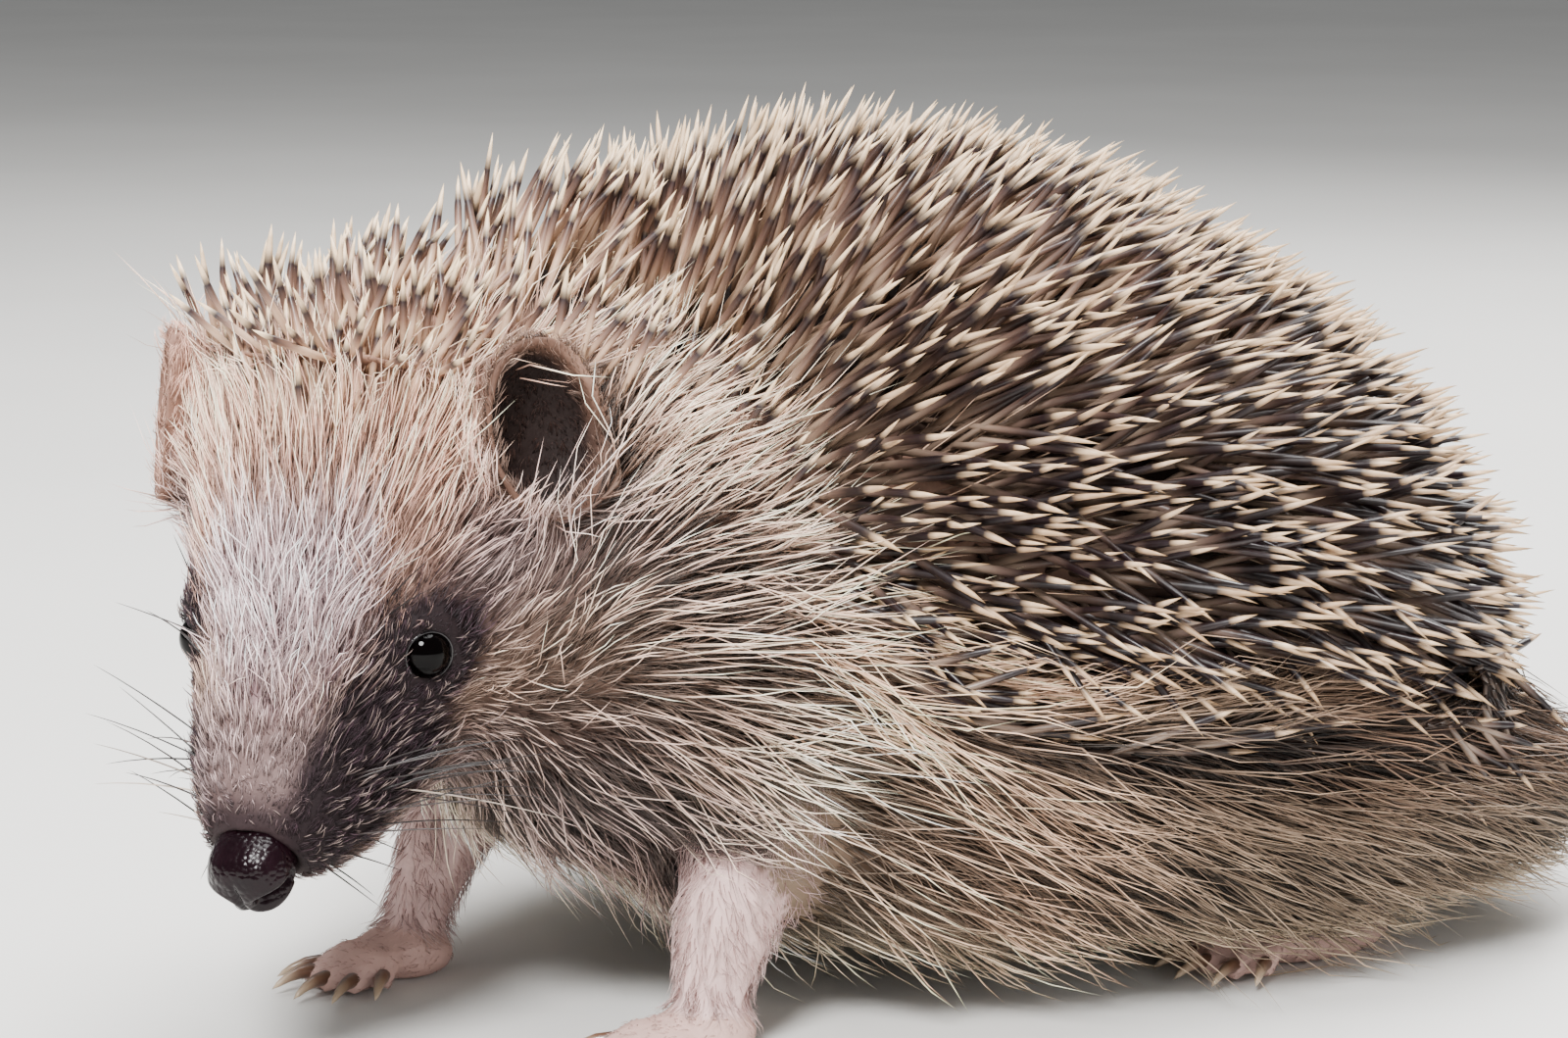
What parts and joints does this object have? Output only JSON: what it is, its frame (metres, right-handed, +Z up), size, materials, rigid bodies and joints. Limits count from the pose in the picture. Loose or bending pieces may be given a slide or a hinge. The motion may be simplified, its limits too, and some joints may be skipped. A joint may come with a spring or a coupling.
{
  "type": "hedgehog",
  "caption": "Life-size still hedgehog standing on all four feet, head lowered and turned to its left, with a spiny back, furry face and skirt, ears, eyes and clawed feet.",
  "frame": {"origin": "on the floor, below the middle of the animal's box", "axes": "+X to the animal's left, +Y towards its tail, +Z up"},
  "size_m": [0.11, 0.1898, 0.1048],
  "materials": {
    "spines": "satin horn, cream tips over dark bands",
    "fur": "coarse beige and brown hair",
    "skin": "bare pinkish grey skin with horn claws",
    "ear": "thin dark skin with a fine down",
    "nose": "wet, finely bumpy",
    "eye": "glossy black"
  },
  "bodies": {
    "root": {"spiny_back": "spines", "head": "fur", "lower_jaw": "fur", "neck": "fur", "trunk": "fur", "foreleg_left": "fur", "foreleg_right": "fur", "hindleg_left": "fur", "hindleg_right": "fur", "forefoot_left": "skin", "forefoot_right": "skin", "hindfoot_left": "skin", "hindfoot_right": "skin", "tail": "skin", "ear_left": "ear", "ear_right": "ear", "nose": "nose", "eye_left": "eye", "eye_right": "eye"}
  },
  "joints": []
}
